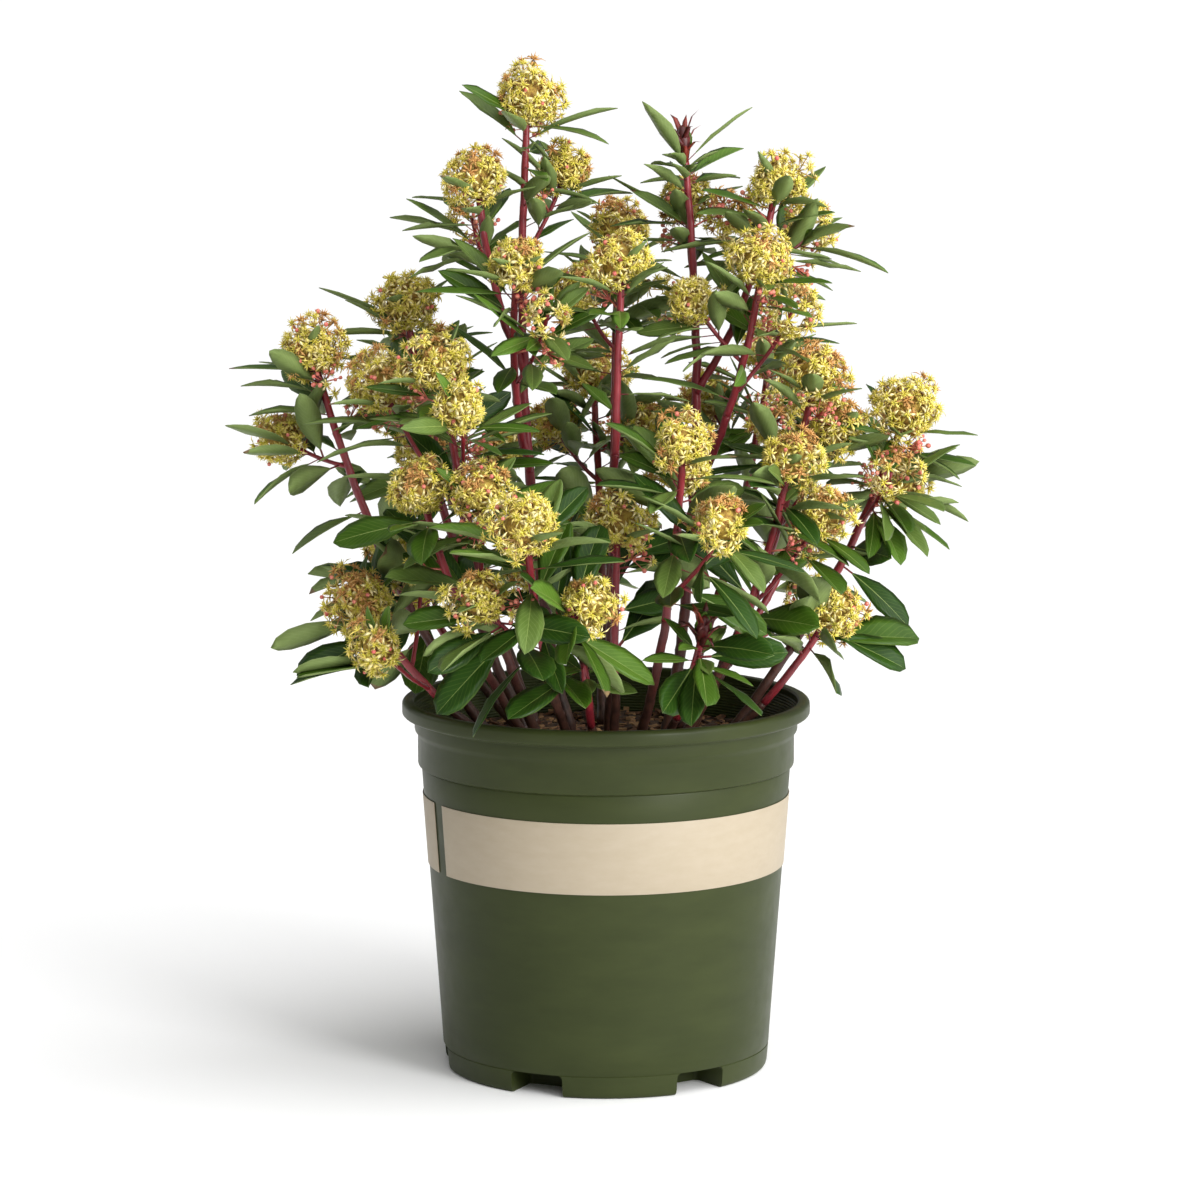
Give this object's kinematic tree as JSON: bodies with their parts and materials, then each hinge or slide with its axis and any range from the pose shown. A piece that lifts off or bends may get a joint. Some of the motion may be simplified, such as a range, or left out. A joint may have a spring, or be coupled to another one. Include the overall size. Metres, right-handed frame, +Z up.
{
  "type": "flowering mountain pepper shrub in a nursery pot",
  "caption": "Bushy mountain pepper shrub with crimson stems, narrow green leaves and cream flower heads, in a round tapered olive-green nursery pot with a bare cream band.",
  "frame": {"origin": "middle of the pot's flat underside, on the pot's axis", "axes": "+Z up along the pot's axis, +X to the right and +Y away from the viewer of the picture"},
  "size_m": [0.5003, 0.487, 0.6658],
  "materials": {
    "pot": "satin dark olive green",
    "label": "plain matt cream",
    "soil": "loose brown bark chips",
    "stem": "crimson young bark, brown-grey low down",
    "foliage": "satin dark green leaves with cream flower heads"
  },
  "bodies": {
    "root": {"pot": "pot", "label": "label", "soil": "soil", "stem_top": "stem", "foliage_top": "foliage", "stem_upper_left": "stem", "foliage_upper_left": "foliage", "stem_left_shoulder": "stem", "foliage_left_shoulder": "foliage", "stem_left_outer": "stem", "foliage_left_outer": "foliage", "stem_left_mid": "stem", "foliage_left_mid": "foliage", "stem_left_low": "stem", "foliage_left_low": "foliage", "stem_left_bottom": "stem", "foliage_left_bottom": "foliage", "stem_centre_left": "stem", "foliage_centre_left": "foliage", "stem_centre": "stem", "foliage_centre": "foliage", "stem_centre_low": "stem", "foliage_centre_low": "foliage", "stem_bud": "stem", "foliage_bud": "foliage", "stem_right_top": "stem", "foliage_right_top": "foliage", "stem_right_upper": "stem", "foliage_right_upper": "foliage", "stem_right_shoulder": "stem", "foliage_right_shoulder": "foliage", "stem_right_mid": "stem", "foliage_right_mid": "foliage", "stem_right_outer": "stem", "foliage_right_outer": "foliage", "stem_right_bottom": "stem", "foliage_right_bottom": "foliage", "stem_front_right": "stem", "foliage_front_right": "foliage", "stem_front_left": "stem", "foliage_front_left": "foliage", "stem_front_low_left": "stem", "foliage_front_low_left": "foliage", "stem_front_low_right": "stem", "foliage_front_low_right": "foliage", "stem_back_left": "stem", "foliage_back_left": "foliage", "stem_back": "stem", "foliage_back": "foliage", "stem_back_right": "stem", "foliage_back_right": "foliage", "stem_back_top": "stem", "foliage_back_top": "foliage", "stem_back_low_left": "stem", "foliage_back_low_left": "foliage", "stem_back_low": "stem", "foliage_back_low": "foliage", "stem_back_low_right": "stem", "foliage_back_low_right": "foliage"}
  },
  "joints": []
}
